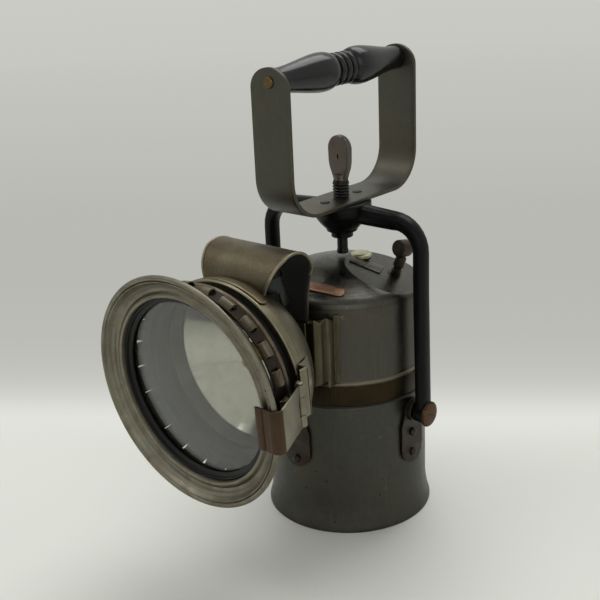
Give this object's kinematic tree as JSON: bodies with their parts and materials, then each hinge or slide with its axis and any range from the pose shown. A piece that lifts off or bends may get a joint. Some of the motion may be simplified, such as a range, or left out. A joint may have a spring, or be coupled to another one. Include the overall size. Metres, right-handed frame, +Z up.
{
  "type": "carbide hand lamp",
  "caption": "Vintage acetylene hand lamp: water tank over carbide can, swinging yoke with clamp screw and strap handle, hooded lamp head with a hinged glazed bezel.",
  "frame": {"origin": "centre of the carbide can's flat underside, on the surface the lamp stands on", "axes": "+Z up along the can's axis, -Y the way the lamp head shines, +X to the right of somebody looking at the back of the head (the bezel's hinge side)"},
  "size_m": [0.136, 0.2022, 0.2846],
  "materials": {
    "tank_steel": "aged, dull grey-brown",
    "band_brass": "dark, tarnished",
    "lug_steel": "rusty brown",
    "rust_steel": "rusty brown",
    "basket_steel": "plain tinned sheet",
    "felt": "matt felt",
    "seal_rubber": "matt",
    "yoke_black": "worn gloss black",
    "strap_steel": "worn, dull",
    "grip_wood": "black gloss",
    "pale_brass": "rubbed",
    "label_copper": "coppery, bare",
    "inner_brass": "plain",
    "head_metal": "tarnished plating",
    "hood_metal": "tarnished, sooty inside",
    "saddle_brass": "dark, tarnished",
    "strap_hinge_steel": "brown, worn",
    "mirror_metal": "silvered, hazy",
    "seat_black": "matt black",
    "retainer_dark": "matt",
    "lens": "clear, slightly grey",
    "burner_stone": "matt steatite"
  },
  "bodies": {
    "container": {"carbide_container": "tank_steel", "container_base": "tank_steel", "carbide_basket": "basket_steel", "basket_lid": "basket_steel", "filter_felt": "felt", "joint_gasket": "seal_rubber", "lug_right": "lug_steel", "lug_left": "lug_steel", "lug_front": "lug_steel", "lug_rivet_right_1": "rust_steel", "lug_rivet_right_2": "rust_steel", "lug_rivet_left_1": "rust_steel", "lug_rivet_left_2": "rust_steel", "lug_rivet_front_1": "rust_steel", "pivot_screw_right": "rust_steel", "pivot_screw_left": "rust_steel"},
    "yoke": {"yoke": "yoke_black", "handle_strap": "strap_steel", "strap_rivet_front": "strap_steel", "strap_rivet_rear": "strap_steel", "handle_grip": "grip_wood", "grip_screw_front": "pale_brass", "grip_screw_rear": "pale_brass"},
    "clamp_pad": {"clamp_pad": "basket_steel"},
    "clamp_screw": {"clamp_screw": "rust_steel"},
    "tank": {"tank_crown": "tank_steel", "tank_side": "tank_steel", "tank_floor": "tank_steel", "brass_band": "band_brass", "drip_tube": "inner_brass", "label_plate": "label_copper", "crown_plate": "tank_steel", "filler_neck": "pale_brass", "valve_guide": "inner_brass", "head_bracket": "head_metal", "gas_pipe": "inner_brass"},
    "valve_needle": {"valve_needle": "inner_brass"},
    "valve_screw": {"valve_screw": "rust_steel"},
    "filler_washer": {"filler_washer": "seal_rubber"},
    "filler_cap": {"filler_cap": "pale_brass"},
    "head": {"slide_plate": "head_metal", "vent_barrel": "head_metal", "bowl_shell": "head_metal", "reflector": "mirror_metal", "chimney_neck": "head_metal", "chimney_hood": "hood_metal", "hood_saddle": "saddle_brass", "burner_pipe": "inner_brass", "burner_body": "inner_brass", "burner_tip_right": "burner_stone", "burner_tip_left": "burner_stone", "hinge_fixed_leaf": "head_metal", "hinge_pin": "rust_steel", "door_catch": "head_metal"},
    "bezel_door": {"bezel_ring": "head_metal", "glass_seat": "seat_black", "lens_glass": "lens", "glass_retainer": "retainer_dark", "hinge_strap": "strap_hinge_steel"}
  },
  "joints": [
    {"name": "yoke_swing", "type": "hinge", "parent": "container", "child": "yoke", "pos_m": [0, 0, 0.073], "axis": [-1, 0, 0], "range_deg": [-8, 90]},
    {"name": "clamp_travel", "type": "slide", "parent": "yoke", "child": "clamp_pad", "axis": [0, 0, 1], "range_m": [0, 0.01]},
    {"name": "clamp_screw_turn", "type": "hinge", "parent": "clamp_pad", "child": "clamp_screw", "pos_m": [0, 0, 0.2], "axis": [0, 0, 1], "range_deg": [0, 1815]},
    {"name": "tank_lift", "type": "slide", "parent": "container", "child": "tank", "axis": [0, 0, 1], "range_m": [0, 0.0101]},
    {"name": "needle_travel", "type": "slide", "parent": "tank", "child": "valve_needle", "axis": [0.3125, 0.1391, 0.9397], "range_m": [0, 0.003]},
    {"name": "water_valve_turn", "type": "hinge", "parent": "valve_needle", "child": "valve_screw", "pos_m": [0.0271, 0.01633, 0.15247], "axis": [0.3125, 0.1391, 0.9397], "range_deg": [0, 1090]},
    {"name": "cap_travel", "type": "slide", "parent": "tank", "child": "filler_washer", "axis": [0, 0, 1], "range_m": [0, 0.0045]},
    {"name": "filler_cap_turn", "type": "hinge", "parent": "filler_washer", "child": "filler_cap", "pos_m": [0.0042, 0.0125, 0.1585], "axis": [0, 0, 1], "range_deg": [0, 1090]},
    {"name": "head_lift", "type": "slide", "parent": "tank", "child": "head", "axis": [0, 0, 1], "range_m": [0, 0.04]},
    {"name": "bezel_swing", "type": "hinge", "parent": "head", "child": "bezel_door", "pos_m": [0.0572, -0.10872, 0.11941], "axis": [0, -0.064, 0.9979], "range_deg": [0, 110]}
  ],
  "couplings": [
    {"joint": "clamp_screw_turn", "follows": "clamp_travel", "rad_per_m": 3141.6},
    {"joint": "tank_lift", "follows": "clamp_travel", "ratio": 1},
    {"joint": "water_valve_turn", "follows": "needle_travel", "rad_per_m": 6283.2},
    {"joint": "filler_cap_turn", "follows": "cap_travel", "rad_per_m": 4188.8}
  ]
}
